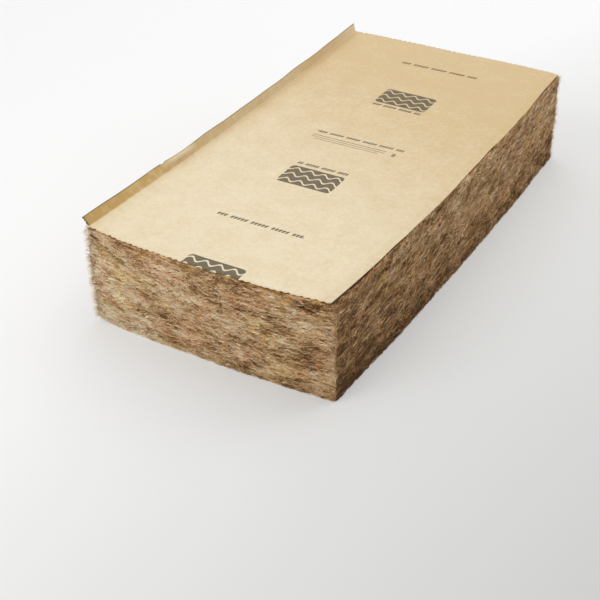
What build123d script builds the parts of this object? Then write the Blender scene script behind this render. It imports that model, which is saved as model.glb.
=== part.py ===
from build123d import *
import math
import os

# A glass wool batt faced with kraft paper, lying flat with its paper side up.
# X runs across the batt, Y along it and Z up, in millimetres.
# The origin is the middle of the underside, and the near cut end is the one at -Y.

# The block of wool: 24 by 48 inches, 9 1/2 inches thick
wool_width = 609.6
wool_length = 1219.2  # along a long side, from corner to corner
wool_thickness = 241.3
side_bow = 12.0  # both long sides curve this far towards +X at mid-length
bottom_round = 9.0  # the soft lower edge, all round

# How far each cut end swells out past its corners, under the paper and at the underside
near_swell_top = 21.0
near_swell_bottom = 9.0
far_swell_top = 6.0
far_swell_bottom = 3.0
swell_power = 3.0  # a larger power is flatter in the middle and rounder at the corners

# The serrated cut that both ends of the wool and the paper share
tooth_pitch = 15.0
tooth_depth = 5.0

# The paper, one sheet from the raised tab on the left to the flat tab on the right
paper_thickness = 0.4
tab_layers = 2  # each tab is the paper folded back on itself
tab_width = 24.0
left_crease_inset = 6.0  # from the left side of the wool to the crease of the raised tab
right_edge_inset = 3.0  # from the right side of the wool to the free edge
corner_pull = 9.0  # the free edge runs further in than that at the near corner
corner_pull_length = 300.0  # and is back in line this far along
edge_wave = 1.5  # the free edge wanders by this much to each side
edge_wave_length = 410.0

# The lean of the raised tab, in degrees outward from upright
near_lean = 42.0
middle_lean = 21.0
far_lean = 11.0
near_lean_length = 265.0  # the tab has sprung open over this much of the near end
lean_change_length = 60.0  # and closes to the middle lean over this much more

section_count = 22  # cross-sections that the paper is lofted through

half_width = wool_width / 2
half_length = wool_length / 2
paper_top = wool_thickness + paper_thickness
tab_thickness = tab_layers * paper_thickness
tooth_count = round(wool_width / tooth_pitch)
tooth_half = wool_width / tooth_count / 2


# How far the long sides are bowed towards +X at a place along the batt
def bow_at(y):
    return side_bow * (1 - (y / half_length) ** 2)


# The serrated line of one cut end, from left to right
# direction is -1 for the near end and 1 for the far end
def cut_end(direction, swell, inset, extra_teeth=0):
    shrink = (half_width - inset) / half_width
    points = []
    for step in range(-2 * extra_teeth, 2 * (tooth_count + extra_teeth) + 1):
        x = -half_width + step * tooth_half
        across = min(abs(x) / half_width, 1)
        reach = half_length - inset + swell * (1 - across**swell_power)
        notch = tooth_depth if step % 2 else 0
        points.append((x * shrink, direction * (reach - notch)))
    return points


# The levels that the wool is lofted through: height, inset and the swell of each end
round_step = bottom_round * (1 - math.sqrt(0.5))
wool_levels = []
for level, inset in [(0, bottom_round), (round_step, round_step), (bottom_round, 0), (wool_thickness, 0)]:
    rise = level / wool_thickness
    near_swell = near_swell_bottom + (near_swell_top - near_swell_bottom) * rise
    far_swell = far_swell_bottom + (far_swell_top - far_swell_bottom) * rise
    wool_levels.append((level, inset, near_swell, far_swell))

# The block of wool
with BuildPart() as wool_batt:
    for level, inset, near_swell, far_swell in wool_levels:
        near_line = cut_end(-1, near_swell, inset)
        far_line = cut_end(1, far_swell, inset)
        side = half_width - inset
        with BuildSketch(Plane.XY.offset(level)):
            with BuildLine():
                Polyline(*near_line)
                ThreePointArc(near_line[-1], (side + side_bow, 0), far_line[-1])
                Polyline(*far_line)
                ThreePointArc(far_line[0], (side_bow - side, 0), near_line[0])
            make_face()
    loft(ruled=True)


# The lean of the raised tab at a place along the batt
def lean_at(y):
    along = y + half_length
    if along < near_lean_length:
        return near_lean
    if along < near_lean_length + lean_change_length:
        return near_lean + (middle_lean - near_lean) * (along - near_lean_length) / lean_change_length
    rest = (along - near_lean_length - lean_change_length) / (wool_length - near_lean_length)
    return middle_lean + (far_lean - middle_lean) * rest


# The paper cut across at a place along the batt, as a closed outline in X and Z
def paper_section(y):
    along = max(y + half_length, 0)
    crease = -half_width + bow_at(y) + left_crease_inset
    pull = corner_pull * max(1 - along / corner_pull_length, 0)
    wave = edge_wave * math.sin(2 * math.pi * along / edge_wave_length)
    free_edge = half_width + bow_at(y) - right_edge_inset - pull + wave
    lean = math.radians(lean_at(y))
    tip_x = crease - tab_width * math.sin(lean)
    tip_z = wool_thickness + tab_width * math.cos(lean)
    inner_x = tip_x + tab_thickness * math.cos(lean)
    inner_z = tip_z + tab_thickness * math.sin(lean)
    slide = (inner_z - paper_top) / math.cos(lean)
    return [
        (crease, wool_thickness),
        (free_edge, wool_thickness),
        (free_edge, wool_thickness + tab_thickness),
        (free_edge - tab_width, wool_thickness + tab_thickness),
        (free_edge - tab_width, paper_top),
        (inner_x + slide * math.sin(lean), paper_top),
        (inner_x, inner_z),
        (tip_x, tip_z),
    ]


# The paper: the sheet with both tabs, then trimmed by the same serrated cut as the wool
trim_teeth = math.ceil((tab_width + side_bow) / tooth_pitch) + 1
overrun = near_swell_top + far_swell_top
first_section = -half_length - overrun
section_gap = (wool_length + 2 * overrun) / (section_count - 1)
with BuildPart() as kraft_facing:
    for number in range(section_count):
        place = first_section + number * section_gap
        with BuildSketch(Plane.XZ.offset(-place)):
            with BuildLine():
                Polyline(*paper_section(place), close=True)
            make_face()
    loft(ruled=True)
    near_trim = cut_end(-1, near_swell_top, 0, trim_teeth)
    far_trim = cut_end(1, far_swell_top, 0, trim_teeth)
    with BuildSketch(Plane.XY.offset(wool_thickness - tab_width)):
        with BuildLine():
            Polyline(*near_trim, *reversed(far_trim), close=True)
        make_face()
    extrude(amount=3 * tab_width, mode=Mode.INTERSECT)

os.makedirs("parts", exist_ok=True)
wool_batt.part.label = "wool_batt"
export_step(wool_batt.part, "parts/wool_batt.step")
kraft_facing.part.label = "kraft_facing"
export_step(kraft_facing.part, "parts/kraft_facing.step")
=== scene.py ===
import math

import bpy
import numpy as np
from mathutils import Matrix, Vector


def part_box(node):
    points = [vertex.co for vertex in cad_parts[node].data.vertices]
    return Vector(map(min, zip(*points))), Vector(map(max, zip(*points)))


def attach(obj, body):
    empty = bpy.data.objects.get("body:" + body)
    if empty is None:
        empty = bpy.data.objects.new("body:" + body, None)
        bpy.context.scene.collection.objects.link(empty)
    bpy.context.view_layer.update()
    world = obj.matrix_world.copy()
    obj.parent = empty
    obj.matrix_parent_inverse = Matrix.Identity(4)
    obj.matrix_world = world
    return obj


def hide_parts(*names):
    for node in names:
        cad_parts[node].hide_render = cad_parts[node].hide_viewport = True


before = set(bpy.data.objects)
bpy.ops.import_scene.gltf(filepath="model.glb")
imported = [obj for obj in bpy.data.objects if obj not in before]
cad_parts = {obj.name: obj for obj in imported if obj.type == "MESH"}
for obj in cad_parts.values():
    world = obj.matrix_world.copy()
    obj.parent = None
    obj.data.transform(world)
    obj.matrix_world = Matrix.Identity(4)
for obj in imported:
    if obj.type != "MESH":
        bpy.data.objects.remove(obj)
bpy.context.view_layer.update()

woolLow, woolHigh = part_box("wool_batt")
mm = 0.001
print("frame loaded")

# The batt's own shape: the swelling and the serrated cut of its ends, and the bow of its long sides
batt = {
    "sideBow": 12 * mm,
    "nearSwell": (9 * mm, 21 * mm),  # at the underside and at the paper
    "farSwell": (3 * mm, 6 * mm),
    "swellPower": 3.0,  # a larger power swells the end more evenly across
    "swellReach": 6.0,  # a larger power keeps the swelling nearer to the cut end
    "toothPitch": 15 * mm,
    "toothDepth": 5 * mm,
    # The lower left corner of the near end is worn round: lift, and reach across, along and up
    "wornCorner": (11 * mm, (80 * mm, 110 * mm, 90 * mm)),
}
thickness = woolHigh.z
halfWidth = (woolHigh.x - woolLow.x - batt["sideBow"]) / 2
halfLength = (woolHigh.y - woolLow.y - batt["nearSwell"][1] - batt["farSwell"][1]) / 2
toothCount = round(2 * halfWidth / batt["toothPitch"])
toothStep = halfWidth / toothCount  # from a tip to the next notch


# Smooth random values from -1 to 1 at rows of x, y, z, where one unit is the size of a lump.
# The large odd numbers give each corner of the grid a value from its place and the seed.
def lumps(points, seed):
    cell = np.floor(points).astype(np.int64)
    part = points - cell
    ease = part * part * (3 - 2 * part)
    total = np.zeros(len(points))
    for corner in range(8):
        step = np.array([corner & 1, corner >> 1 & 1, corner >> 2])
        spot = cell + step
        mixed = spot[:, 0] * 73856093 ^ spot[:, 1] * 19349663 ^ spot[:, 2] * 83492791 ^ seed * 7919
        mixed = (mixed ^ mixed >> 13) * 1274126177
        value = ((mixed ^ mixed >> 16) & 0xFFFF) / 32767.5 - 1
        total += value * np.prod(np.where(step, ease, 1 - ease), axis=1)
    return total


# How far the cut ends swell at a place across the batt and a share of its height
def swellAt(x, rise, which):
    low, high = batt[which]
    across = np.clip(np.abs(x) / halfWidth, 0, 1)
    return (low + (high - low) * rise) * (1 - across ** batt["swellPower"])


# Takes places on a straight block to the bowed and swollen batt
def bent(points):
    x, y, z = points.T
    rise = np.clip(z / thickness, 0, 1)
    along = np.clip(y / halfLength, -1, 1)
    near = swellAt(x, rise, "nearSwell") * np.clip(-along, 0, 1) ** batt["swellReach"]
    far = swellAt(x, rise, "farSwell") * np.clip(along, 0, 1) ** batt["swellReach"]
    bow = batt["sideBow"] * (1 - along**2)
    lift, (reachX, reachY, reachZ) = batt["wornCorner"]
    worn = np.clip(1 - (x + halfWidth) / reachX, 0, 1) ** 2
    worn *= np.clip(1 - (y + halfLength) / reachY, 0, 1) ** 2
    worn *= np.clip(1 - z / reachZ, 0, 1)
    return np.stack([x + bow + lift * worn / 2, y - near + far, z + lift * worn], axis=1)


# The serrated cut: 0 at a tooth's tip and 1 at a notch
def notchAt(x):
    return 1 - np.abs(1 - (x + halfWidth) / toothStep % 2)


# Quads between closed rings of equally many points, one ring after another
def ringFaces(rings, count):
    ring = np.arange(count)
    after = (ring + 1) % count
    faces = []
    for row in range(rings - 1):
        a, b = row * count, (row + 1) * count
        faces.append(np.stack([a + ring, a + after, b + after, b + ring], axis=1))
    return np.concatenate(faces)


def addObject(name, data):
    thing = bpy.data.objects.new(name, data)
    bpy.context.scene.collection.objects.link(thing)
    return thing


# faces holds one array for each number of corners
def meshPiece(name, points, faces, material):
    mesh = bpy.data.meshes.new(name)
    mesh.vertices.add(len(points))
    mesh.vertices.foreach_set("co", np.asarray(points, np.float32).ravel())
    counts = np.concatenate([np.full(len(f), f.shape[1]) for f in faces])
    loops = np.concatenate([f.ravel() for f in faces])
    mesh.loops.add(len(loops))
    mesh.loops.foreach_set("vertex_index", loops.astype(np.int32))
    mesh.polygons.add(len(counts))
    mesh.polygons.foreach_set("loop_start", np.concatenate([[0], np.cumsum(counts)[:-1]]).astype(np.int32))
    mesh.update(calc_edges=True)
    mesh.validate()
    mesh.shade_smooth()
    mesh.materials.append(material)
    piece = addObject(name, mesh)
    print(name, "triangles:", sum(len(f) * (f.shape[1] - 2) for f in faces))
    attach(piece, "root")
    return piece


# Numbers for each vertex, which the material reads by name
def vertexValues(piece, **layers):
    for name, values in layers.items():
        layer = piece.data.attributes.new(name, "FLOAT", "POINT")
        layer.data.foreach_set("value", np.asarray(values, np.float32))


def toLinear(hexColour):
    parts = [int(hexColour[i : i + 2], 16) / 255 for i in (1, 3, 5)]
    return [p / 12.92 if p <= 0.04045 else ((p + 0.055) / 1.055) ** 2.4 for p in parts] + [1.0]


# kind is the node's type without its prefix, and settings are its own properties. inputs is a list
# in the node's own order, or a dictionary. It holds values, sockets to link, or nodes, whose first
# output is linked.
def addNode(tree, kind, inputs=(), **settings):
    node = tree.nodes.new("ShaderNode" + kind)
    for name, value in settings.items():
        setattr(node, name, value)
    for name, value in inputs.items() if isinstance(inputs, dict) else enumerate(inputs):
        if isinstance(value, bpy.types.Node):
            value = value.outputs[0]
        if isinstance(value, bpy.types.NodeSocket):
            tree.links.new(value, node.inputs[name])
        else:
            node.inputs[name].default_value = value
    return node


def newMaterial(name):
    material = bpy.data.materials.new(name)
    material.use_nodes = True
    material.node_tree.nodes.clear()
    return material, material.node_tree


# The end of a material: its bump, the shader with the settings of its surface, and the output
def finishMaterial(tree, colour, height, look):
    strength, distance = look["bump"]
    bump = addNode(tree, "Bump", {"Height": height, "Strength": strength, "Distance": distance})
    shader = addNode(tree, "BsdfPrincipled", {"Base Color": colour, "Normal": bump, **look["surface"]})
    addNode(tree, "OutputMaterial", [shader])


# Glass wool: thin spun glass bound with a brown resin. The felt lies in thin sheets that slope
# up along the batt, so the eye gets long streaks, darker and lighter as the resin is thick or thin,
# and a dry fibrous surface with hardly any shine.
wool = {
    "dark": "#6a4826",
    "middle": "#e4b881",
    "light": "#fdf0d0",
    "stops": (0.0, 0.52, 0.97),  # where those three lie on the scale of lightness
    # Laid over that: the vertex value to read, where on it the colour starts and is whole, and the blend
    "layers": (
        ("strandTint", 0.1, 0.6, "#fff0ec", "MULTIPLY"),  # rose
        ("strandTint", -0.1, -0.6, "#fff4d8", "MULTIPLY"),  # amber, where more resin dried
        ("strandTint", -0.5, -0.9, "#f6fcf0", "MULTIPLY"),  # sage, where less resin reached the glass
        ("strandTone", -0.1, -0.8, "#3d2c1a", "MIX"),  # painted shade inside the splits and under the paper's free edge
    ),
    "sheetSlope": math.radians(16),
    "patch": ((95 * mm, 95 * mm, 30 * mm), 1.35),  # size, and how strongly it shows
    "streak": ((34 * mm, 34 * mm, 6.5 * mm), 1.3),
    "flockSize": 3.2 * mm,  # the glass itself is 5 thousandths of a millimetre, so tufts are drawn
    "bump": (0.8, 1.5 * mm),  # strength and height
    # The IOR is that of glass
    "surface": {"Roughness": 0.85, "IOR": 1.5, "Specular IOR Level": 0.18, "Sheen Weight": 0.05},
}


def feltedGlassWool():
    material, tree = newMaterial("feltedGlassWool")
    place = addNode(tree, "TexCoord").outputs["Object"]
    vertex = {
        name: addNode(tree, "Attribute", attribute_name=name).outputs["Fac"]
        for name in ("strandTone", "strandTint", "feltCalm")
    }
    # Patches and streaks, which a calm wall shows less of, and the flock add to the strand's own tone
    lively = addNode(tree, "Math", [1.0, vertex["feltCalm"]], operation="SUBTRACT")
    patterns = []
    for key in ("patch", "streak"):
        size, weight = wool[key]
        scale = [1 / length for length in size]
        slope = {"Vector": place, "Rotation": (-wool["sheetSlope"], 0, 0), "Scale": scale}
        sloped = addNode(tree, "Mapping", slope)
        felt = addNode(tree, "TexNoise", {"Vector": sloped, "Scale": 1.0, "Detail": 3.0, "Distortion": 0.4})
        patterns.append((felt, weight, lively))
    flock = addNode(tree, "TexNoise", {"Vector": place, "Scale": 1 / wool["flockSize"], "Detail": 4.0})
    patterns.append((flock, 1.0, 1.0))
    total = vertex["strandTone"]
    for pattern, weight, strength in patterns:
        centred = addNode(tree, "Math", [pattern, 0.5], operation="SUBTRACT")
        weighted = addNode(tree, "Math", [centred, weight], operation="MULTIPLY")
        total = addNode(tree, "Math", [weighted, strength, total], operation="MULTIPLY_ADD")
    tones = addNode(tree, "ValToRGB", [total])
    ramp = tones.color_ramp
    darkAt, middleAt, lightAt = wool["stops"]
    ramp.elements[0].position, ramp.elements[0].color = darkAt, toLinear(wool["dark"])
    ramp.elements[1].position, ramp.elements[1].color = lightAt, toLinear(wool["light"])
    ramp.elements.new(middleAt).color = toLinear(wool["middle"])
    colour = tones.outputs["Color"]
    for name, start, whole, hexColour, blend in wool["layers"]:
        share = addNode(tree, "MapRange", [vertex[name], start, whole])
        layer = {0: share, 6: colour, 7: toLinear(hexColour)}
        colour = addNode(tree, "Mix", layer, data_type="RGBA", blend_type=blend).outputs[2]
    finishMaterial(tree, colour, flock, wool)
    return material


# The felt's relief on a wall of the block: layers, lumps, tufts and two splits under the top layer
relief = {
    "lump": ((80 * mm, 80 * mm, 30 * mm), 2.8 * mm),  # size and height
    "layer": ((42 * mm, 42 * mm, 9.4 * mm), 2.0 * mm),
    "tuft": ((14 * mm, 14 * mm, 5 * mm), 1.4 * mm),
    "rib": (9.4 * mm, 1.5 * mm, 45 * mm),  # pitch, height and reach of the layers at a cut end's corners
    "sheetWave": (140 * mm, 11 * mm),  # the felt's sheets are wavy: length and height
    "setBack": 3.1 * mm,  # the body lies this far inside the block, under its strands
    "edgeFade": (10 * mm, 0.1),  # near the upper and lower edge the relief fades to this share
    # Below the top, the serrated cut fades out in the soft wool: over this much, and to this share
    "fluteFade": (22 * mm, 0.3),
    # Splits in the near cut end: from and to across the batt, how far under the top, and half width
    "splits": (
        ((-320 * mm, -190 * mm), (3 * mm, 66 * mm), 3.0 * mm),
        ((205 * mm, 292 * mm), (8 * mm, 47 * mm), 2.4 * mm),
    ),
    "splitDepth": 15 * mm,
    "splitCurve": 0.8,  # under 1, they drop faster at their left
    "splitWander": (22 * mm, 4 * mm),  # size, and how far
    "splitTaper": (12 * mm, 40 * mm),  # at the left and the right
}


def cornerShare(x):
    return np.clip((np.abs(x) - halfWidth) / relief["rib"][2] + 1, 0, 1)


# How high a place lies in the sloping and wavy sheets of the felt
def sheetHeight(points):
    length, height = relief["sheetWave"]
    return points[:, 2] - math.tan(wool["sheetSlope"]) * points[:, 1] + height * lumps(points / length, 5)


# Inside the splits 1, and 0 away from them
def splitShare(points, spread=1.0):
    x, y, z = points.T
    size, wander = relief["splitWander"]
    leftTaper, rightTaper = relief["splitTaper"]
    share = np.zeros(len(points))
    for (left, right), (topLeft, topRight), width in relief["splits"]:
        part = np.clip((x - left) / (right - left), 0, 1) ** relief["splitCurve"]
        line = thickness - (topLeft + (topRight - topLeft) * part) + wander * lumps(points / size, 31)
        inside = np.clip((x - left) / leftTaper, 0, 1) * np.clip((right - x) / rightTaper, 0, 1)
        share = np.maximum(share, np.exp(-(((z - line) / (width * spread)) ** 2)) * inside)
    return share * (y < 0)


def reliefAt(points, endShare):
    x, y, z = points.T
    felt = np.stack([x, y, sheetHeight(points)], axis=1)
    height = np.zeros(len(points))
    for seed, key in enumerate(("lump", "layer", "tuft")):
        size, reach = relief[key]
        height += reach * lumps(felt / np.array(size), seed + 11)
    pitch, ribHeight, reach = relief["rib"]
    height += ribHeight * endShare * cornerShare(x) * np.sin(math.tau * felt[:, 2] / pitch)
    fade, least = relief["fluteFade"]
    flute = least + (1 - least) * np.clip(1 - (thickness - z) / fade, 0, 1)
    height -= batt["toothDepth"] * notchAt(x) * endShare * flute
    return height - relief["splitDepth"] * endShare * splitShare(points)


# The felted block: rings round the batt, from the middle of the underside to the middle of the top
block = {
    "cornerRadius": 9 * mm,  # of the upright corners
    "cornerSteps": 4,
    "bottomRound": 3.5 * mm,
    "sideTopRound": 8 * mm,
    "endTopRound": 2 * mm,
    "roundRings": 5,
    "columnsPerTooth": 4,
    "sidePitch": 8 * mm,
    "rowPitch": 4.4 * mm,
    "underRings": 9,
    "underLift": 1.0 * mm,  # the underside's felt lies this far behind its strands
    "topRings": 3,
    "topDrop": 1.2 * mm,  # and the top's felt this far under the paper
    "reliefFrom": (0.15, 0.1),  # the share of the relief that the lowest and the highest ring have
    "topFade": 12 * mm,  # over which the relief fades towards the top
    "weldReach": 0.05 * mm,
    "gapShadeTone": 0.25,  # painted shade: the felt seen in the gaps between its strands is drawn darker
    "toneSpread": (12 * mm, 0.1),  # size of its patches, and how much they differ
    "splitShadeTone": 1.2,  # painted shade: how much darker a split is drawn
    "tintSize": 45 * mm,
    # Where a place on it counts as a wall's, in shares of the half width and length
    "wallFrom": 0.9,
    "calmFrom": 0.99,
    "calmUnder": 2 * mm,  # below this it looks as the underside does
}


def topRound(endShare):
    return block["sideTopRound"] + (block["endTopRound"] - block["sideTopRound"]) * endShare


# How far a wall's rounded edges draw it in at a height
def roundedIn(z, endShare):
    low, top = block["bottomRound"], topRound(endShare)
    under = np.clip(1 - z / low, 0, 1)
    over = np.clip(1 - (thickness - z) / top, 0, 1)
    return low * (1 - np.sqrt(1 - under**2)) + top * (1 - np.sqrt(1 - over**2))


# Places round the block at one height, with their outward direction and their share of a cut end
def wallRing():
    radius, steps = block["cornerRadius"], block["cornerSteps"]
    endWall = (halfLength, halfWidth, toothCount * block["columnsPerTooth"], 1.0)
    sideWall = (halfWidth, halfLength, round(2 * halfLength / block["sidePitch"]), 0.0)
    spots, outwards, ends = [], [], []
    for turn, (reach, half, count, endShare) in enumerate((endWall, sideWall, endWall, sideWall)):
        angle = turn * math.pi / 2
        outward = np.array([math.sin(angle), -math.cos(angle)])
        forward = np.array([math.cos(angle), math.sin(angle)])
        for along in np.linspace(radius - half, half - radius, count + 1):
            spots.append(outward * reach + forward * along)
            outwards.append(outward)
            ends.append(endShare)
        middle = outward * (reach - radius) + forward * (half - radius)
        for step in range(1, steps):
            bend = step / steps * math.pi / 2
            direction = outward * math.cos(bend) + forward * math.sin(bend)
            spots.append(middle + direction * radius)
            outwards.append(direction)
            ends.append(abs(endShare - step / steps))
    return np.array(spots), np.array(outwards), np.array(ends)


def makeWoolBlock(material):
    spots, outwards, ends = wallRing()
    count = len(spots)
    spineY = np.clip(spots[:, 1], halfWidth - halfLength, halfLength - halfWidth)
    spine = np.stack([np.zeros(count), spineY], axis=1)
    low, top = block["bottomRound"], topRound(ends)
    quarter = np.linspace(0, math.pi / 2, block["roundRings"])
    rows = round((thickness - low) / block["rowPitch"])
    heights = [np.full(count, low * (1 - math.cos(a))) for a in quarter]
    heights += [low + (thickness - low - top) * row / rows for row in range(1, rows)]
    heights += [thickness - top + top * math.sin(a) for a in quarter]
    rings = []
    foot = spots - outwards * low
    for share in np.linspace(0, 1, block["underRings"])[:-1]:
        rings.append(np.column_stack([spine + (foot - spine) * share, np.full(count, block["underLift"])]))
    lowFrom, highFrom = block["reliefFrom"]
    for z in heights:
        push = reliefAt(np.column_stack([spots, z]), ends) - relief["setBack"]
        push *= np.clip(z / low + lowFrom, 0, 1)
        push = push * np.clip((thickness - z) / block["topFade"] + highFrom, 0, 1) - roundedIn(z, ends)
        drop = block["topDrop"] * (z > thickness - low)
        rings.append(np.column_stack([spots + outwards * push[:, None], z - drop]))
    brim = spots - outwards * block["sideTopRound"]
    for share in np.linspace(1, 0, block["topRings"])[1:]:
        level = np.full(count, thickness - block["topDrop"])
        rings.append(np.column_stack([spine + (brim - spine) * share, level]))
    faces = ringFaces(len(rings), count)
    piece = meshPiece("woolBatt", bent(np.concatenate(rings)), [faces], material)
    # The first and last rings fold onto the spine, where their places are joined
    weld = piece.modifiers.new("weld", "WELD")
    weld.merge_threshold = block["weldReach"]
    bpy.context.view_layer.objects.active = piece
    piece.select_set(True)
    bpy.ops.object.modifier_apply(modifier="weld")
    places = np.array([vertex.co for vertex in piece.data.vertices])
    size, spread = block["toneSpread"]
    # Painted shade: the felt under the strands is drawn darker, for the shade in the gaps between them
    tones = block["gapShadeTone"] + spread * lumps(places / size, 53)
    wallFrom, calmFrom = block["wallFrom"], block["calmFrom"]
    # Painted shade inside the splits of the near end
    tones -= block["splitShadeTone"] * splitShare(places) * (places[:, 1] < -wallFrom * halfLength)
    # Painted shadow: under the free edge of the paper the wool is drawn dark
    shadowed = (places[:, 0] > wallFrom * halfWidth) & (places[:, 2] > thickness - strandLook["edgeShadowLine"])
    tones = np.where(shadowed, -strandLook["edgeShadowTone"], tones)
    calm = np.where(places[:, 0] > calmFrom * halfWidth, wallLook["rightSide"]["calm"], 0.0)
    calm[places[:, 2] < block["calmUnder"]] = wallLook["underside"]["calm"]
    tints = lumps(places / block["tintSize"], 55)
    vertexValues(piece, strandTone=tones, strandTint=tints, feltCalm=calm)
    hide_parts("wool_batt")


# Strands of felt on the walls: each is a closed spindle with its ends tucked into the block.
# Broad tufts lie below, and thinner and paler strands over them.
strands = {
    # count, length, width and rise
    "nearEnd": (15900, (9 * mm, 38 * mm), (1.2 * mm, 3.0 * mm), 1.6 * mm),
    "rightSide": (16200, (12 * mm, 48 * mm), (1.6 * mm, 3.6 * mm), 2.0 * mm),
    "leftSide": (13000, (8 * mm, 28 * mm), (2.4 * mm, 5.2 * mm), 2.0 * mm),
    "farEnd": (9500, (7 * mm, 27 * mm), (2.2 * mm, 5.0 * mm), 1.8 * mm),
    "underside": (4000, (20 * mm, 60 * mm), (1.6 * mm, 4.6 * mm), 0.2 * mm),
}
# calm: how much weaker the felt's mottling is. Then painted light and shade, how light the wall is drawn
# at four places: along from -X or -Y, and up from the underside.
wallLook = {
    "nearEnd": {"calm": 0.0, "along": (0.13, 0.04, -0.04, -0.13), "up": (-0.03, 0.04, 0.11, -0.13)},
    "rightSide": {"calm": 0.35, "along": (-0.17, 0.01, 0.06, 0.12), "up": (-0.52, -0.28, -0.14, -0.12)},
    "leftSide": {"calm": 0.1, "along": (0, 0, 0, 0), "up": (-0.06, -0.04, -0.02, 0.0)},
    "farEnd": {"calm": 0.0, "along": (0, 0, 0, 0), "up": (0, 0, 0, 0)},
    "underside": {"calm": 0.45, "along": (0, 0, 0, 0), "up": (0, 0, 0, 0)},
}
strandLook = {
    "wallPart": (0.006, 0.99),  # places start at this share of the height, and cover this much of it
    "underInset": 8 * mm,
    "underDepth": 1.2 * mm,  # the underside's strands lie this far inside, so that few show
    "drift": 0.24,  # how far neighbours turn together, in radians
    "driftSize": 60 * mm,
    "turn": 0.36,  # and each by itself
    "bow": 0.3,  # of half the strand's length
    "rise": (0.1, 0.9),  # of the wall's own rise
    "tuck": 1.1 * mm,  # how deep the ends go in
    "setIn": 2.4 * mm,  # so that the strands reach the batt's true faces
    "taper": (0.7, 1.15),
    "flatness": 0.6,
    "thinShare": 0.4,
    "thinWidth": 0.45,  # of a broad tuft's width
    "thinRise": 0.3,
    "thinTone": 0.14,
    "toneSpread": 0.2,
    "patchTone": (20 * mm, 0.12),  # size of the patches, and how much they differ
    "ribTone": 0.2,
    "ribLeast": 0.25,  # the share of it that is left away from the corners
    "tintSize": 38 * mm,
    "tintReach": 0.65,
    "tintSpread": 0.12,
    "splitClear": (1.3, 0.4),  # a split is seen as this much wider, and strands keep out of this share
    "edgeShadowLine": 2.4 * mm,  # painted shadow: the wool is drawn dark this far down under the paper's free edge
    "edgeShadowTone": 0.55,
    "lowShare": 0.07,  # gathered along the lower edge, where the wool frays
    "lowPlace": (1.5 * mm, 6 * mm),  # from, and how far they spread upward
    "lowRise": 4.5 * mm,
    "lowRounding": 0.3,
    "margins": (0.8 * mm, 1.5 * mm),  # strands stay inside these at the underside and under the paper
    "cornerPast": (-3 * mm, 1 * mm),  # how far past the block's edge a strand may end
    "frayReach": (300 * mm, 60 * mm),  # across and up, from the near end's lower left corner
    "frayLightTone": 0.24,
}
# Fine loose fibre that stands out from the walls and blurs the outline
fuzz = {
    "count": 10400,
    "length": (5 * mm, 16 * mm),
    "width": (0.4 * mm, 0.9 * mm),
    "taper": (1.0, 0.7),
    "tone": 0.72,
    "toneSpread": 0.15,
    "tint": (-0.1, 0.25),
    # share of the count, and how far it stands out
    "walls": {
        "nearEnd": (0.31, 5 * mm),
        "rightSide": (0.17, 5 * mm),
        "leftSide": (0.4, 7.5 * mm),
        "farEnd": (0.12, 5 * mm),
    },
    "rise": (0.15, 1.0),
    "rootDepth": 1 * mm,
    "rootRise": 3 * mm,
    "turn": 1.2,
    "curl": 0.3,
    "edgeShare": 0.5,  # of the fibre, at the corners and the lower edge, where the outline runs
    "atCorner": (0.65, 4 * mm),  # the corners' share of that, and how far it spreads
    "atFoot": (2 * mm, 8 * mm),  # lowest place, and how far it spreads
    "topGap": 4 * mm,
    "tipMargins": (0.6 * mm, 1 * mm),
    "frontPast": 1 * mm,  # the front corner is cut clean, so its fibre hardly stands past it
    "frontFade": (70 * mm, 0.1),  # towards that corner it stands out less: over this, and to this share
}
quickShare = 1.0
# The axis that each wall faces along, and which way
facing = {
    "nearEnd": (1, -1),
    "rightSide": (0, 1),
    "leftSide": (0, -1),
    "farEnd": (1, 1),
    "underside": (2, -1),
}
reaches = (halfWidth, halfLength)


def endsOf(wall):
    return 1.0 if facing[wall][0] == 1 else 0.0


# Random places on one wall, with their outward and forward directions
def wallPlaces(wall, count, rng):
    u, v = rng.uniform(-1, 1, count), rng.uniform(0, 1, count)
    axis, side = facing[wall]
    places, outward, forward = np.zeros((3, count, 3))
    outward[:, axis] = side
    if wall == "underside":
        inset = strandLook["underInset"]
        places[:, 0] = u * (halfWidth - inset)
        places[:, 1] = (2 * v - 1) * (halfLength - inset)
        turn = rng.uniform(0, math.pi, count)
        forward[:, 0], forward[:, 1] = np.cos(turn), np.sin(turn)
    else:
        start, part = strandLook["wallPart"]
        places[:, axis] = side * reaches[axis]
        places[:, 1 - axis] = u * reaches[1 - axis]
        places[:, 2] = thickness * (start + part * v)
        # Level on the cut ends, and along the sloping sheets on the sides
        slope = wool["sheetSlope"] * (1 - endsOf(wall))
        forward[:, 1 - axis], forward[:, 2] = math.cos(slope), math.sin(slope)
    return places, outward, forward


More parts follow.
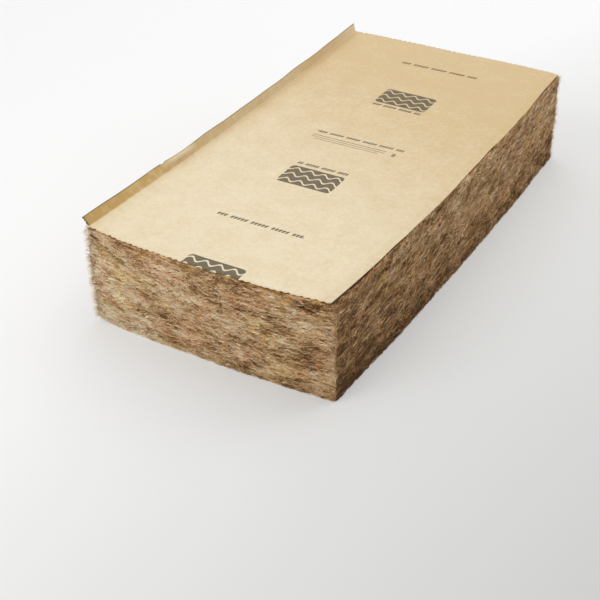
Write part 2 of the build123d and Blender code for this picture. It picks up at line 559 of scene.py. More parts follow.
# Spindles along curved lines: a place for each station, closed to a point at both ends
def spindles(name, stations, across, upward, halfWidths, flatness, tones, tints, calm, material):
    count, rings = stations.shape[0], stations.shape[1] - 2
    sides = 3
    perStrand = 2 + sides * rings
    points = np.zeros((count, perStrand, 3))
    points[:, 0], points[:, 1] = stations[:, 0], stations[:, -1]
    for ring in range(rings):
        for side in range(sides):
            angle = math.tau * side / sides + math.pi / 6
            shift = across * math.cos(angle) + upward * math.sin(angle) * flatness
            points[:, 2 + ring * sides + side] = stations[:, ring + 1] + shift * halfWidths[:, ring, None]
    quads, caps = [], []
    for side in range(sides):
        after = (side + 1) % sides
        lastRing = 2 + sides * (rings - 1)
        caps += [(0, 2 + after, 2 + side), (1, lastRing + side, lastRing + after)]
        for ring in range(rings - 1):
            base = 2 + ring * sides
            quads.append((base + side, base + after, base + sides + after, base + sides + side))
    offsets = (np.arange(count) * perStrand)[:, None, None]
    faces = [(np.array(f)[None] + offsets).reshape(-1, len(f[0])) for f in (quads, caps)]
    points = points.reshape(-1, 3)
    points[:, 2] = np.maximum(points[:, 2], 0)
    piece = meshPiece(name, bent(points), faces, material)
    tones, tints = np.repeat(tones, perStrand), np.repeat(tints, perStrand)
    vertexValues(piece, strandTone=tones, strandTint=tints, feltCalm=np.full(len(points), calm))


# How far out the wall's felt lies at each place
def wallRelief(places, wall):
    reach, least = relief["edgeFade"]
    fade = np.clip(np.minimum(places[:, 2], thickness - places[:, 2]) / reach + least, 0, 1)
    return reliefAt(places, np.full(len(places), endsOf(wall))) * fade


# Painted light and shade: how light a wall is drawn at each place
def paintedLightOn(places, wall):
    look = wallLook[wall]
    flat = 0 if endsOf(wall) else 1
    along = places[:, flat] / reaches[flat]
    stations = (0, 1 / 3, 2 / 3, 1)
    up = np.interp(places[:, 2] / thickness, stations, look["up"])
    return np.interp((along + 1) / 2, stations, look["along"]) + up


# Painted light: the frayed foot of the near end's left part is drawn lighter, as it catches more light
def frayedShare(places, wall):
    reachX, reachZ = strandLook["frayReach"]
    frayed = np.clip(1 - ((places[:, 0] + halfWidth) / reachX) ** 2, 0, 1)
    return frayed * np.clip(1 - (places[:, 2] / reachZ) ** 2, 0, 1) * (wall == "nearEnd")


def makeStrands(wall, material, seed):
    rng = np.random.default_rng(seed)
    wholeCount, lengths, widths, wallRise = strands[wall]
    count = int(wholeCount * quickShare)
    places, outward, forward = wallPlaces(wall, count, rng)
    onWall = wall != "underside"
    low = (rng.uniform(0, 1, count) < strandLook["lowShare"]) & onWall
    lowFrom, lowSpread = strandLook["lowPlace"]
    places[low, 2] = lowFrom + rng.exponential(lowSpread, low.sum())
    sideways = np.cross(outward, forward)
    # Strands follow their neighbours: the turn is partly a slow drift and partly their own
    turn = strandLook["drift"] * lumps(places / strandLook["driftSize"], 41)
    turn += rng.normal(0, strandLook["turn"], count)
    forward, sideways = (
        forward * np.cos(turn)[:, None] + sideways * np.sin(turn)[:, None],
        sideways * np.cos(turn)[:, None] - forward * np.sin(turn)[:, None],
    )
    half = rng.uniform(*lengths, count)[:, None] / 2
    # No strand crosses a split
    wider, most = strandLook["splitClear"]
    split = [splitShare(places + forward * half * t, wider) * endsOf(wall) for t in (-0.8, 0, 0.8)]
    keep = np.max(split, axis=0) < most
    kept = (places, outward, forward, sideways, low, half)
    places, outward, forward, sideways, low, half = (values[keep] for values in kept)
    count = len(places)
    thin = rng.uniform(0, 1, count) < strandLook["thinShare"]
    bow = rng.normal(0, strandLook["bow"], count)[:, None] * half
    rise = wallRise * (rng.uniform(*strandLook["rise"], count) + strandLook["thinRise"] * thin)
    if onWall:
        rise += strandLook["lowRise"] * low * rng.uniform(0, 1, count)
        base = places + outward * (wallRelief(places, wall)[:, None] - strandLook["setIn"])
    else:
        base = places - outward * strandLook["underDepth"]
    stations = []
    for t in (-1, -0.4, 0.4, 1):
        lift = rise[:, None] * (1 - t * t) - strandLook["tuck"] * t * t
        stations.append(base + forward * half * t + sideways * bow * (t * t - 0.3) + outward * lift)
    stations = np.stack(stations, axis=1)
    # At a corner most strands stop short of the next wall, and some stand out past it
    past = rng.uniform(*strandLook["cornerPast"], count)[:, None] if onWall else -1 * mm
    for axis, reach in enumerate(reaches):
        if axis != facing[wall][0]:
            stations[:, :, axis] = np.clip(stations[:, :, axis], -reach - past, reach + past)
    lowMargin, topMargin = strandLook["margins"]
    stations[:, :, 2] = np.clip(stations[:, :, 2], lowMargin, thickness - topMargin)
    if onWall:
        inset = roundedIn(stations[:, :, 2], endsOf(wall))
        inset = inset * np.where(low, strandLook["lowRounding"], 1.0)[:, None]
        stations -= outward[:, None, :] * inset[:, :, None]
    width = rng.uniform(*widths, count) / 2 * np.where(thin, strandLook["thinWidth"], 1.0)
    width = width[:, None] * rng.uniform(*strandLook["taper"], (count, 2))
    patchSize, patchTone = strandLook["patchTone"]
    tones = 0.5 + patchTone * lumps(places / patchSize, 51) + rng.normal(0, strandLook["toneSpread"], count)
    least = strandLook["ribLeast"]
    ribs = np.sin(math.tau * sheetHeight(places) / relief["rib"][0]) * endsOf(wall)
    ribs *= least + (1 - least) * cornerShare(places[:, 0])
    tones += strandLook["thinTone"] * thin + strandLook["ribTone"] * ribs
    # Painted light and shade across the wall, and painted light on the frayed foot
    tones += paintedLightOn(places, wall) + strandLook["frayLightTone"] * frayedShare(places, wall)
    # Painted shadow: the right side's wool is drawn dark just under the paper's free edge
    shadowed = (places[:, 2] > thickness - strandLook["edgeShadowLine"]) & (wall == "rightSide")
    tones = np.where(shadowed, -strandLook["edgeShadowTone"], np.clip(tones, 0, 1))
    tints = strandLook["tintReach"] * lumps(places / strandLook["tintSize"], 55)
    tints += rng.normal(0, strandLook["tintSpread"], count)
    name, flatness, calm = wall + "Strands", strandLook["flatness"], wallLook[wall]["calm"]
    spindles(name, stations, sideways, outward, width, flatness, tones, tints, calm, material)


def makeFuzz(material, seed):
    rng = np.random.default_rng(seed)
    gathered = {"stations": [], "across": [], "upward": [], "tones": []}
    for wall, (share, reach) in fuzz["walls"].items():
        count = int(fuzz["count"] * share * quickShare)
        places, outward, forward = wallPlaces(wall, count, rng)
        edge = rng.uniform(0, 1, count) < fuzz["edgeShare"]
        flat = 0 if endsOf(wall) else 1
        atCorner, cornerSpread = fuzz["atCorner"]
        corner = edge & (rng.uniform(0, 1, count) < atCorner)
        inward = rng.exponential(cornerSpread, corner.sum())
        places[corner, flat] = np.sign(places[corner, flat]) * (reaches[flat] - inward)
        lower = edge & ~corner
        lowest, footSpread = fuzz["atFoot"]
        places[lower, 2] = lowest + rng.exponential(footSpread, lower.sum())
        places[:, 2] = np.clip(places[:, 2], lowest, thickness - fuzz["topGap"])
        sideways = np.cross(outward, forward)
        turn = rng.uniform(-fuzz["turn"], fuzz["turn"], count)[:, None]
        heading = forward * np.cos(turn) * rng.choice([-1, 1], count)[:, None] + sideways * np.sin(turn)
        length = rng.uniform(*fuzz["length"], count)[:, None]
        rise = reach * rng.uniform(*fuzz["rise"], count)[:, None]
        if wall == "rightSide":
            fade, least = fuzz["frontFade"]
            rise *= np.clip((places[:, 1, None] + halfLength) / fade, least, 1)
        curl = rng.normal(0, fuzz["curl"], count)[:, None] * length
        depth = strandLook["setIn"] + fuzz["rootDepth"]
        base = places + outward * (wallRelief(places, wall)[:, None] - depth)
        cross = np.cross(heading, outward)
        line = []
        for t in (0, 0.3, 0.65, 1):
            lift = (rise + fuzz["rootRise"]) * (1 - (1 - t) ** 2)
            line.append(base + heading * length * t + outward * lift + cross * curl * t * t)
        stations = np.stack(line, axis=1)
        lowMargin, topMargin = fuzz["tipMargins"]
        stations[:, :, 2] = np.clip(stations[:, :, 2], lowMargin, thickness - topMargin)
        if wall == "nearEnd":
            stations[:, :, 0] = np.minimum(stations[:, :, 0], halfWidth + fuzz["frontPast"])
        if wall == "rightSide":
            stations[:, :, 1] = np.maximum(stations[:, :, 1], -halfLength - fuzz["frontPast"])
        # Painted light and shade, as on the strands
        tones = fuzz["tone"] + paintedLightOn(places, wall)
        for key, values in zip(gathered, (stations, cross, outward, tones)):
            gathered[key].append(values)
    stations, across, upward, tones = (np.concatenate(values) for values in gathered.values())
    count = len(across)
    width = rng.uniform(*fuzz["width"], count)[:, None] / 2 * np.array([fuzz["taper"]])
    tones = np.clip(tones + rng.normal(0, fuzz["toneSpread"], count), 0, 1)
    tints = rng.normal(*fuzz["tint"], count)
    spindles("looseFuzz", stations, across, upward, width, 1.0, tones, tints, 0.0, material)


# Kraft paper: unbleached, uncoated wood pulp, pressed between rollers. It is a warm pale brown with
# darker and paler fibre flecks, faint clouds where the pulp lay thicker, and a soft dull shine.
kraft = {
    "pale": "#e7d8b9",
    "brown": "#d0b586",
    "farShadeFrom": (-0.5, 0.5),  # painted shade: the paper is drawn browner towards the far right corner, where less light and sheen reach it, in metres
    "farShadeTurn": 0.4,
    "farShadeMost": 0.85,
    # Size, detail and roughness of the noise
    "clouds": (60 * mm, 6.0, 0.72),
    "mottle": (11 * mm, 3.0, 0.5),
    "blotches": (15 * mm, 4.0, 0.5),
    "cockle": (9 * mm, 3.0, 0.5),
    "grainSize": (1.6 * mm, 6 * mm),  # pulp fibres lie along the machine, drawn coarse to show
    "weights": (1.0, 0.6, 0.9),  # how strongly clouds, mottle and grain show
    "middle": 0.44,  # the value of theirs that leaves the colour alone
    "fleck": "#a5814e",
    "fleckSize": 1.7 * mm,
    "fleckRange": (0.16, 0.05),  # of that size, from where a fleck starts to where it is whole
    "fleckStrength": 0.35,
    "tab": "#c29e58",  # the folded tabs are drawn browner
    "tabRange": (0.35, 0.65, 0.75, 1.15),  # from and to in the blotches, and its least and most there
    # Where on foldedTab these two start and are whole
    "foldEdge": "#5c5034",  # drawn dark where the tab is folded over
    "foldRange": (1.05, 1.3),
    # A painted highlight, paler than the paper, on the raised tab past the nick and at its far end
    "paleHighlight": "#f8ecd6",
    "paleHighlightRange": (-0.05, -0.45),
    "ink": "#483c1c",
    "inkRange": (0.25, 0.6, 0.8, 0.96),  # the same in the grain, which takes the ink unevenly
    "grainHeight": 0.12,  # of a cockle's
    "bump": (0.35, 0.5 * mm),  # strength and height
    "surface": {"Roughness": 0.55, "IOR": 1.5, "Specular IOR Level": 0.35},  # the IOR is cellulose's
}

# The print, in millimetres from the left corner and the near end. It repeats along the paper.
# There is no lettering: rows of slanted ticks stand where a line of print goes, and solid blocks
# with a wavy wool pattern where a larger mark goes.
printing = {
    "repeat": 907,
    "repeatFrom": -90,  # each repeat starts in the bare paper between two marks
    "tickRows": (
        # across, along, length, height, pitch
        (324, 184, 216, 10, 8.6),
        (330, 633, 230, 8.5, 7.4),
        (327, -77, 132, 10, 7.0),
        (318, 470, 132, 10, 7.0),
    ),
    "tickStroke": 0.72,  # the inked share of each pitch
    "tickGroup": (6, 5.1),  # pitches from group to group, and how much of that is printed
    "tickSlant": 0.35,
    # across, along, length, height
    "rules": ((310, 613, 196, 3.0), (310, 604, 196, 2.6), (310, 595, 170, 2.6), (432, 604, 9, 15)),
    "ruleStrength": 0.75,
    "blocks": ((327, -23, 138, 82), (318, 413, 138, 82)),
    "blockRound": 10,
    "waveLength": 34.5,
    "waveHeight": 6.5,
    "waveGap": 26,
    "waveStroke": 5.5,
    "softEdge": 0.5,
}


# From 1 within a reach to 0 beyond it, over the ink's soft edge
def inkEdge(tree, away, reach):
    soft = printing["softEdge"] / 2
    return addNode(tree, "MapRange", [away, reach + soft, reach - soft])


# 1 within a rectangle round a place and 0 outside
def rectangleMask(tree, across, along, spot):
    u, v, width, height = spot
    sides = []
    for value, middle, size in ((across, u, width), (along, v, height)):
        away = addNode(tree, "Math", [value, middle], operation="SUBTRACT")
        away = addNode(tree, "Math", [away], operation="ABSOLUTE")
        sides.append(inkEdge(tree, away, size / 2))
    return addNode(tree, "Math", [sides[0], sides[1]], operation="MULTIPLY")


# 1 on evenly spaced strokes of a value and 0 between them
def strokes(tree, value, middle, gap, stroke):
    moved = addNode(tree, "Math", [value, gap / 2 - middle], operation="ADD")
    cycle = addNode(tree, "Math", [moved, gap], operation="FLOORED_MODULO")
    away = addNode(tree, "Math", [cycle, gap / 2], operation="SUBTRACT")
    away = addNode(tree, "Math", [away], operation="ABSOLUTE")
    return inkEdge(tree, away, stroke / 2)


# A row of slanted ticks, in groups like words
def tickMask(tree, across, along, row):
    u, v, length, height, pitch = row
    lean = addNode(tree, "Math", [along, -printing["tickSlant"], across], operation="MULTIPLY_ADD")
    mask = rectangleMask(tree, across, along, (u, v, length, height))
    group, printed = printing["tickGroup"]
    for gap, stroke in ((pitch, pitch * printing["tickStroke"]), (pitch * group, pitch * printed)):
        ticks = strokes(tree, lean, 0.0, gap, stroke)
        mask = addNode(tree, "Math", [mask, ticks], operation="MULTIPLY")
    return mask


# A block with round corners, cut through by wavy lines
def blockMask(tree, across, along, spot):
    u, v, width, height = spot
    rounding = printing["blockRound"]
    flat = addNode(tree, "CombineXYZ", [across, along])
    away = addNode(tree, "VectorMath", [flat, (u, v, 0)], operation="SUBTRACT")
    away = addNode(tree, "VectorMath", [away], operation="ABSOLUTE")
    corner = (width / 2 - rounding, height / 2 - rounding, 0)
    over = addNode(tree, "VectorMath", [away, corner], operation="SUBTRACT")
    over = addNode(tree, "VectorMath", [over, (0, 0, 0)], operation="MAXIMUM")
    reach = addNode(tree, "VectorMath", [over], operation="LENGTH").outputs["Value"]
    turns = addNode(tree, "Math", [across, math.tau / printing["waveLength"]], operation="MULTIPLY")
    wave = addNode(tree, "Math", [turns], operation="SINE")
    waved = addNode(tree, "Math", [wave, printing["waveHeight"], along], operation="MULTIPLY_ADD")
    lines = strokes(tree, waved, v, printing["waveGap"], printing["waveStroke"])
    body = inkEdge(tree, reach, rounding)
    return addNode(tree, "Math", [body, lines], operation="SUBTRACT", use_clamp=True)


def printMask(tree, parts):
    across = addNode(tree, "Math", [parts.outputs["X"], halfWidth], operation="ADD")
    across = addNode(tree, "Math", [across, 1 / mm], operation="MULTIPLY")
    along = addNode(tree, "Math", [parts.outputs["Y"], halfLength], operation="ADD")
    along = addNode(tree, "Math", [along, 1 / mm], operation="MULTIPLY")
    start = printing["repeatFrom"]
    for operation, value in (("SUBTRACT", start), ("FLOORED_MODULO", printing["repeat"]), ("ADD", start)):
        along = addNode(tree, "Math", [along, value], operation=operation)
    masks = [tickMask(tree, across, along, row) for row in printing["tickRows"]]
    for rule in printing["rules"]:
        mask = rectangleMask(tree, across, along, rule)
        masks.append(addNode(tree, "Math", [mask, printing["ruleStrength"]], operation="MULTIPLY"))
    masks += [blockMask(tree, across, along, spot) for spot in printing["blocks"]]
    whole = masks[0]
    for mask in masks[1:]:
        whole = addNode(tree, "Math", [whole, mask], operation="MAXIMUM")
    return whole


def printedKraftPaper():
    material, tree = newMaterial("printedKraftPaper")
    place = addNode(tree, "TexCoord").outputs["Object"]
    parts = addNode(tree, "SeparateXYZ", [place])
    grainWidth, grainLength = kraft["grainSize"]
    scale = (1 / grainWidth, 1 / grainLength, 1 / grainWidth)
    grainPlace = addNode(tree, "Mapping", {"Vector": place, "Scale": scale})
    grain = addNode(tree, "TexNoise", {"Vector": grainPlace, "Scale": 1.0, "Detail": 3.0})
    noise = {}
    for name in ("clouds", "mottle", "blotches", "cockle"):
        size, detail, rough = kraft[name]
        look = {"Vector": place, "Scale": 1 / size, "Detail": detail, "Roughness": rough}
        noise[name] = addNode(tree, "TexNoise", look)
    # Painted shade from pale to brown towards the far right corner, with the paper's own clouds, mottle and
    # grain added
    slope = [parts.outputs["X"], kraft["farShadeTurn"], parts.outputs["Y"]]
    slope = addNode(tree, "Math", slope, operation="MULTIPLY_ADD")
    begin, finish = kraft["farShadeFrom"]
    fade = [slope, begin, finish, 0.0, kraft["farShadeMost"]]
    brown = addNode(tree, "MapRange", fade, interpolation_type="SMOOTHSTEP")
    for pattern, weight in zip((noise["clouds"], noise["mottle"], grain), kraft["weights"]):
        centred = addNode(tree, "Math", [pattern, kraft["middle"]], operation="SUBTRACT")
        brown = addNode(tree, "Math", [centred, weight, brown], operation="MULTIPLY_ADD")
    fleckScale = {"Vector": grainPlace, "Scale": grainWidth / kraft["fleckSize"], "Randomness": 1.0}
    flecks = addNode(tree, "TexVoronoi", fleckScale).outputs["Distance"]
    fleck = addNode(tree, "MapRange", [flecks, *kraft["fleckRange"]])
    fleck = addNode(tree, "Math", [fleck, kraft["fleckStrength"]], operation="MULTIPLY")
    # foldedTab is the share of the tab's brown, in blotches. Over 1 it is dark along the fold, and
    # under 0 it is a painted highlight, paler than the paper.
    folded = addNode(tree, "Attribute", attribute_name="foldedTab").outputs["Fac"]
    blotch = addNode(tree, "MapRange", [noise["blotches"], *kraft["tabRange"]])
    tab = addNode(tree, "Math", [folded, blotch], operation="MULTIPLY")
    edge = addNode(tree, "MapRange", [folded, *kraft["foldRange"]])
    highlight = addNode(tree, "MapRange", [folded, *kraft["paleHighlightRange"]])
    # Ink lies on the upper face only
    cover = addNode(tree, "MapRange", [grain, *kraft["inkRange"]])
    upper = addNode(tree, "Attribute", attribute_name="printedFace").outputs["Fac"]
    ink = printMask(tree, parts)
    for share in (cover, upper):
        ink = addNode(tree, "Math", [ink, share], operation="MULTIPLY")
    colour = toLinear(kraft["pale"])
    keys = ("brown", "fleck", "tab", "foldEdge", "paleHighlight", "ink")
    for key, share in zip(keys, (brown, fleck, tab, edge, highlight, ink)):
        layer = {0: share, 6: colour, 7: toLinear(kraft[key])}
        colour = addNode(tree, "Mix", layer, data_type="RGBA").outputs[2]
    height = [grain, kraft["grainHeight"], noise["cockle"]]
    height = addNode(tree, "Math", height, operation="MULTIPLY_ADD")
    finishMaterial(tree, colour, height, kraft)
    return material


# The paper sheet and its two tabs, folded from one strip
sheet = {
    "thickness": 0.4 * mm,
    "tabWidth": 24 * mm,
    "leftInset": 6 * mm,
    "rightInset": 3 * mm,
    # How the free edge wanders: over a length, and by how much
    "cornerPull": (300 * mm, 9 * mm),  # inward at the near corner
    "edgeWave": (410 * mm, 1.5 * mm),
    "edgeFray": (62 * mm, 1.3 * mm),  # unevenly
    "edgeGap": 1.2 * mm,  # from the last tooth to the free edge
    "toothSpread": (0.3, 1.1),  # of the tooth's depth, as paper tears unevenly
    "leans": (42, 21, 11),  # degrees outward from upright: near end, past the nick, far end
    "leanLength": 265 * mm,
    "leanChange": 60 * mm,
    # The raised tab also sways: by this many radians, over this length and from this angle
    "sways": ((0.05, 61 * mm, 0.0), (0.03, 23 * mm, 1.0)),
    "tabWave": (33 * mm, 0.6 * mm),  # and its upper edge is wavy
    "rows": 156,
    "foldRadius": 0.5 * mm,
    "creaseRadius": 1.6 * mm,
    "leafGap": 0.15 * mm,  # between a tab's two layers
    "outerLeaf": (3 * mm, 9 * mm, 16 * mm),  # points up the raised tab
    "innerLeaf": (16 * mm, 9 * mm, 4 * mm),  # and down again
    "flatLeaf": (6 * mm, 12 * mm, 22 * mm),  # from the free edge, under the flat tab
    "clearance": 0.7 * mm,  # above the wool's felt
    "wave": ((170 * mm, 230 * mm), 0.9 * mm),
    "dent": ((48 * mm, 66 * mm), 0.35 * mm),
    "droop": (0.9 * mm, 1.5),  # of the flat tab at its free edge, and its power
    "step": (0.5 * mm, 0.12),  # at the flat tab's inner edge: height, and reach as a share of the tab
    "nick": (282 * mm, 7 * mm, 4 * mm),  # in the raised tab: place, half width and depth
    "paleStrip": (278 * mm, 410 * mm, 35 * mm),  # painted highlight: past the nick its upper edge is drawn paler: from, to and fade
    "paleShares": (1.1, 0.8),  # how much paler, at the two points under the fold
    "foldLine": 3.0 * mm,  # the dark line along the fold
    "foldTone": (1.3, 0.22),  # how dark it is, and how much less on the pale strip
    # Shares of the length, and how brown the raised tab is drawn there: the tab's brown, with painted shade
    # on its near part, which the lamps light more, and painted light on its far part
    "tabBrownAndShade": ((0.0, 1.08), (0.12, 1.06), (0.35, 0.6), (0.65, 0.05), (1.0, -0.2)),
    "creaseShares": (0.8, 0.55, 0.25),  # of that, round the crease
    "footTone": (0.24, 16 * mm),  # yellower beside the raised tab, and how far that reaches
    "flatTone": (0.2, 0.1, 1 / 3),  # on the flat tab, at the near end and from this share of the length on
    "flatBlend": 0.15,  # of the flat tab's width, over which that starts
}
# Each line across the sheet starts with the raised tab's points: up its outer leaf, round the fold,
# down its inner leaf and round the crease
tabPoints = 16
leafPoints, foldPoints, underFold, creasePoints = slice(0, 13), slice(4, 8), slice(8, 10), slice(13, 16)


def leanAt(along):
    near, middle, far = sheet["leans"]
    start, change = sheet["leanLength"], sheet["leanChange"]
    ease = np.clip((along - start) / change, 0, 1)
    ease = ease * ease * (3 - 2 * ease)
    rest = np.clip((along - start - change) / (2 * halfLength - start), 0, 1)
    lean = math.radians(near + (middle - near) * ease + (far - middle) * rest)
    return lean + sum(sway * math.sin(along / length + angle) for sway, length, angle in sheet["sways"])


# How far the free edge has wandered outward at a place along the batt
def edgeWander(along):
    (pullLength, pull), (waveLength, wave), (frayLength, fray) = (
        sheet[key] for key in ("cornerPull", "edgeWave", "edgeFray")
    )
    frayed = fray * float(lumps(np.array([[along / frayLength, 0.5, 0.5]]), 71)[0])
    return wave * math.sin(math.tau * along / waveLength) + frayed - pull * max(1 - along / pullLength, 0)


# The sheet's centre line cut across at a place along the batt, in X and Z, and where its free edge is
def sheetLine(along):
    bow = batt["sideBow"] * (1 - (along / halfLength - 1) ** 2)
    level = thickness + sheet["thickness"] / 2
    crease = -halfWidth + bow + sheet["leftInset"]
    freeEdge = halfWidth + bow - sheet["rightInset"] + edgeWander(along)
    lean = leanAt(along)
    up = np.array([-math.sin(lean), math.cos(lean)])
    out = np.array([-math.cos(lean), -math.sin(lean)])
    right = np.array([1.0, 0.0])
    hinge = np.array([crease, level])
    fold, bend = sheet["foldRadius"], sheet["creaseRadius"]
    place, reach, depth = sheet["nick"]
    waveSize, wave = sheet["tabWave"]
    nick = depth * max(0, 1 - abs(along - place) / reach)
    width = sheet["tabWidth"] - nick + wave * math.sin(along / waveSize)
    gap = sheet["thickness"] + sheet["leafGap"]
    line = [hinge + up * s + out * gap for s in (*sheet["outerLeaf"], width - fold)]
    for angle in (0.25, 0.5, 0.75):
        turn = angle * math.pi
        across = gap * (1 + math.cos(turn)) / 2
        line.append(hinge + up * (width - fold + fold * math.sin(turn)) + out * across)
    for s in (width - fold, width - sheet["foldLine"], *sheet["innerLeaf"], bend):
        line.append(hinge + up * s)
    line += [hinge + (up * (1 - t) ** 2 + right * t * t) * bend for t in (0.35, 0.65, 1.0)]
    columns = -halfWidth + np.arange(1, 2 * toothCount) * toothStep
    share = (columns - columns[0]) / (columns[-1] - columns[0])
    start, stop = crease + sheet["innerLeaf"][-1], freeEdge - sheet["edgeGap"]
    line += [np.array([x, level]) for x in start + share * (stop - start)]
    for angle in (0.25, 0.5, 0.75, 1.0):
        turn = angle * math.pi
        down = gap * (1 - math.cos(turn)) / 2
        line.append(np.array([freeEdge - fold + fold * math.sin(turn), level - down]))
    line += [np.array([freeEdge - s, level - gap]) for s in sheet["flatLeaf"]]
    return np.array(line), freeEdge


# foldedTab at every point of the centre lines; inboard is 0 at the free edge and 1 past its tab
def foldedTones(shares, inboard):
    folded = np.zeros(inboard.shape)
    # The tab's brown, with painted shade near the near end and painted light towards the far end
    tabBrownAndShade = np.interp(shares, *zip(*sheet["tabBrownAndShade"]))[:, None]
    folded[:, leafPoints] = tabBrownAndShade
    folded[:, creasePoints] = tabBrownAndShade * sheet["creaseShares"]
    begin, finish, fade = sheet["paleStrip"]
    along = shares * 2 * halfLength
    pale = np.clip(np.minimum(along - begin, finish - along) / fade, 0, 1)[:, None]
    # Painted highlight on the upper edge past the nick
    folded[:, underFold] -= pale * sheet["paleShares"]
    foldTone, paler = sheet["foldTone"]
    folded[:, foldPoints] = foldTone - paler * pale
    folded[0, leafPoints] = foldTone  # the cut end of the tab
    footTone, footReach = sheet["footTone"]
    foot = np.arange(inboard.shape[1] - tabPoints) * toothStep
    folded[:, tabPoints:] = footTone * np.exp(-foot / footReach)
    nearFlat, farFlat, change = sheet["flatTone"]
    flatTone = (nearFlat + (farFlat - nearFlat) * np.clip(shares / change, 0, 1))[:, None]
    return folded + flatTone * np.clip((1 - inboard) / sheet["flatBlend"], 0, 1)


def makeKraftSheet(material):
    rng = np.random.default_rng(3)
    rows = sheet["rows"]
    shares = np.linspace(0, 1, rows)
    lines = [sheetLine(share * 2 * halfLength) for share in shares]
    centres = np.array([line for line, freeEdge in lines])  # rows, columns, (x, z)
    freeEdges = np.array([freeEdge for line, freeEdge in lines])[:, None]
    columns = centres.shape[1]
    x, z = centres[:, :, 0], centres[:, :, 1]
    # Along the batt, each column runs from the near cut to the far cut
    nearLine = -halfLength - swellAt(x[0], 1.0, "nearSwell")
    farLine = halfLength + swellAt(x[-1], 1.0, "farSwell")
    y = nearLine + (farLine - nearLine) * shares[:, None]
    notched = (np.arange(columns) - tabPoints) % 2 == 0
    tooth = notched * batt["toothDepth"] * rng.uniform(*sheet["toothSpread"], columns)
    y[0] += tooth
    y[-1] -= tooth[::-1]
    # Slow waves and small dents in the flat part, and a droop at the free edge
    flat = np.stack([x.ravel(), y.ravel(), np.zeros(x.size)], axis=1)
    lift = np.zeros(x.size)
    for seed, key in enumerate(("wave", "dent")):
        size, reach = sheet[key]
        lift += reach * lumps(flat / np.array([*size, 1.0]), seed + 61)
    inboard = np.clip((freeEdges - x) / sheet["tabWidth"], 0, 1)
    droop, power = sheet["droop"]
    stepHeight, stepReach = sheet["step"]
    step = stepHeight * np.exp(-(((inboard - 1) / stepReach) ** 2))
    z = z + lift.reshape(x.shape) + sheet["clearance"] - droop * (1 - inboard) ** power + step
    # Two skins, half a thickness each side of the centre line
    ahead = np.roll(centres, -1, axis=1) - np.roll(centres, 1, axis=1)
    ahead[:, 0] = centres[:, 1] - centres[:, 0]
    ahead[:, -1] = centres[:, -1] - centres[:, -2]
    normal = np.stack([-ahead[:, :, 1], ahead[:, :, 0]], axis=2)
    normal *= sheet["thickness"] / 2 / np.linalg.norm(normal, axis=2)[:, :, None]
    upper = np.stack([x + normal[:, :, 0], y, z + normal[:, :, 1]], axis=2)
    lower = np.stack([x - normal[:, :, 0], y, z - normal[:, :, 1]], axis=2)
    loop = np.concatenate([upper, lower[:, ::-1]], axis=1)  # a closed section in each row
    around = loop.shape[1]
    cap = np.arange(columns - 1)
    mirror = around - 1 - cap
    nearCap = np.stack([cap + 1, cap, mirror, mirror - 1], axis=1)
    farCap = (rows - 1) * around + np.stack([cap, cap + 1, mirror - 1, mirror], axis=1)
    faces = np.concatenate([ringFaces(rows, around), nearCap, farCap])
    piece = meshPiece("kraftFacing", loop.reshape(-1, 3), [faces], material)
    inked = np.zeros((rows, around))
    inked[:, tabPoints:columns] = 1.0
    folded = foldedTones(shares, inboard)
    folded = np.concatenate([folded, folded[:, ::-1]], axis=1)
    vertexValues(piece, printedFace=inked.ravel(), foldedTab=folded.ravel())
    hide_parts("kraft_facing")


woolMaterial = feltedGlassWool()
paperMaterial = printedKraftPaper()
print("materials made")
makeWoolBlock(woolMaterial)
print("wool block made")
for number, wallName in enumerate(strands):
    makeStrands(wallName, woolMaterial, 100 + number)
makeFuzz(woolMaterial, 200)
print("strands made")
makeKraftSheet(paperMaterial)
print("paper made")

# The studio: a pale floor with painted shade towards the right and a little to the front, and four broad
# lamps, the strongest in front on the left
studio = {
    "floorReach": 40.0,
    "floor": "#f9f9f9",
    "floorShade": "#cfd0cd",
    "shadeFrom": (-0.3, 1.2),  # along the floor to the right, in metres
    "shadeTurn": -0.2,  # and a little to the front
    "floorSurface": {"Roughness": 0.9, "Specular IOR Level": 0.1},
    "floorGlow": 0.35,  # the share of its plain colour that is seen, beside the lit floor and its shadow
    "world": "#ffffff",
    "worldStrength": 0.52,
    # place, aim, side, power in watts
    "lamps": (
        ("highLamp", (0.6, 1.6, 4.8), (0.0, 0.0, 0.2), 4.0, 60.0),
        ("backLamp", (-2.6, 3.4, 3.0), (0.0, -0.2, 0.2), 3.2, 32.0),
        ("frontLamp", (-1.4, -4.0, 2.9), (0.0, -0.5, 0.1), 3.2, 92.0),
        ("sideLamp", (3.0, 3.5, 3.2), (0.0, 0.3, 0.2), 3.0, 48.0),
    ),
}


# 1 on the rays that show the background: seen straight, in a reflection or through glass
def seenShare(tree):
    path = addNode(tree, "LightPath")
    share = path.outputs["Is Camera Ray"]
    for ray in ("Is Glossy Ray", "Is Transmission Ray"):
        share = addNode(tree, "Math", [share, path.outputs[ray]], operation="MAXIMUM")
    return share


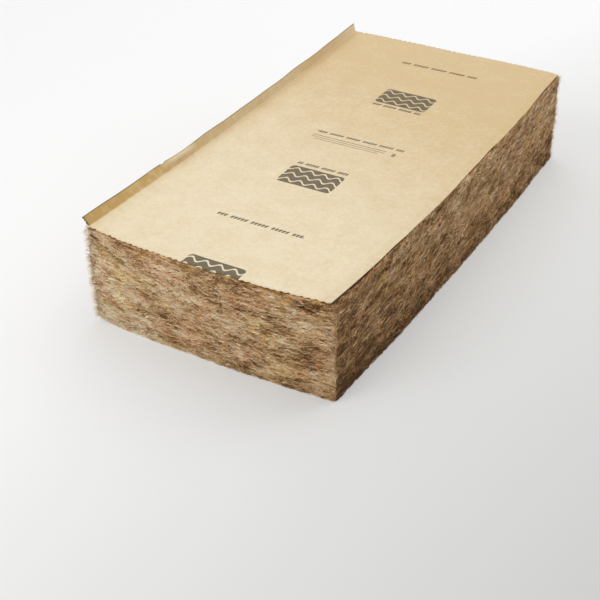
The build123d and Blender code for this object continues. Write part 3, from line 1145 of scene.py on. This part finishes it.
def makeFloor():
    material, tree = newMaterial("paleFloor")
    parts = addNode(tree, "SeparateXYZ", [addNode(tree, "TexCoord").outputs["Object"]])
    slope = [parts.outputs["Y"], studio["shadeTurn"], parts.outputs["X"]]
    slope = addNode(tree, "Math", slope, operation="MULTIPLY_ADD")
    begin, finish = studio["shadeFrom"]
    share = addNode(tree, "MapRange", [slope, begin, finish])
    layer = {0: share, 6: toLinear(studio["floor"]), 7: toLinear(studio["floorShade"])}
    colour = addNode(tree, "Mix", layer, data_type="RGBA").outputs[2]
    shader = addNode(tree, "BsdfPrincipled", {"Base Color": colour, **studio["floorSurface"]})
    glow = addNode(tree, "Emission", [colour, 1.0])
    seen = addNode(tree, "Math", [seenShare(tree), studio["floorGlow"]], operation="MULTIPLY")
    addNode(tree, "OutputMaterial", [addNode(tree, "MixShader", [seen, shader, glow])])
    mesh = bpy.data.meshes.new("floor")
    reach = studio["floorReach"]
    corners = [(-reach, -reach, 0), (reach, -reach, 0), (reach, reach, 0), (-reach, reach, 0)]
    mesh.from_pydata(corners, [], [(0, 1, 2, 3)])
    mesh.materials.append(material)
    floor = addObject("floor", mesh)


def makeLamps():
    for name, place, aim, side, power in studio["lamps"]:
        data = bpy.data.lights.new(name, "AREA")
        data.shape = "SQUARE"
        data.size = side
        data.energy = power
        lamp = addObject(name, data)
        lamp.location = place
        lamp.rotation_euler = (Vector(aim) - Vector(place)).to_track_quat("-Z", "Y").to_euler()


def makeWorld():
    world = bpy.data.worlds.new("paleWorld")
    world.use_nodes = True
    tree = world.node_tree
    tree.nodes.clear()
    strength = {0: seenShare(tree), 2: studio["worldStrength"], 3: 1.0}
    strength = addNode(tree, "Mix", strength, data_type="FLOAT")
    background = addNode(tree, "Background", [toLinear(studio["world"]), strength])
    addNode(tree, "OutputWorld", [background])
    bpy.context.scene.world = world


# The camera of the photograph, found by matching the batt's corners
view = {
    "place": (1.2955, -2.4421, 1.6707),
    "azimuth": 30.33,
    "elevation": 34.23,
    "roll": -0.64,
    "focalPixels": 1296.5,
    "framePixels": 600,
    "sensorWidth": 36.0,
    "clipStart": 0.05,
}


def makeCamera():
    data = bpy.data.cameras.new("photoCamera")
    data.sensor_width = view["sensorWidth"]
    data.lens = data.sensor_width * view["focalPixels"] / view["framePixels"]
    data.clip_start = view["clipStart"]
    camera = addObject("photoCamera", data)
    azimuth, elevation = math.radians(view["azimuth"]), math.radians(view["elevation"])
    level = math.cos(elevation)
    aim = Vector((-math.sin(azimuth) * level, math.cos(azimuth) * level, -math.sin(elevation)))
    turn = aim.to_track_quat("-Z", "Y").to_matrix() @ Matrix.Rotation(math.radians(view["roll"]), 3, "Z")
    camera.matrix_world = Matrix.Translation(view["place"]) @ turn.to_4x4()
    bpy.context.scene.camera = camera


makeFloor()
makeLamps()
makeWorld()
makeCamera()
bpy.context.scene.view_settings.view_transform = "Standard"
print("studio ready")
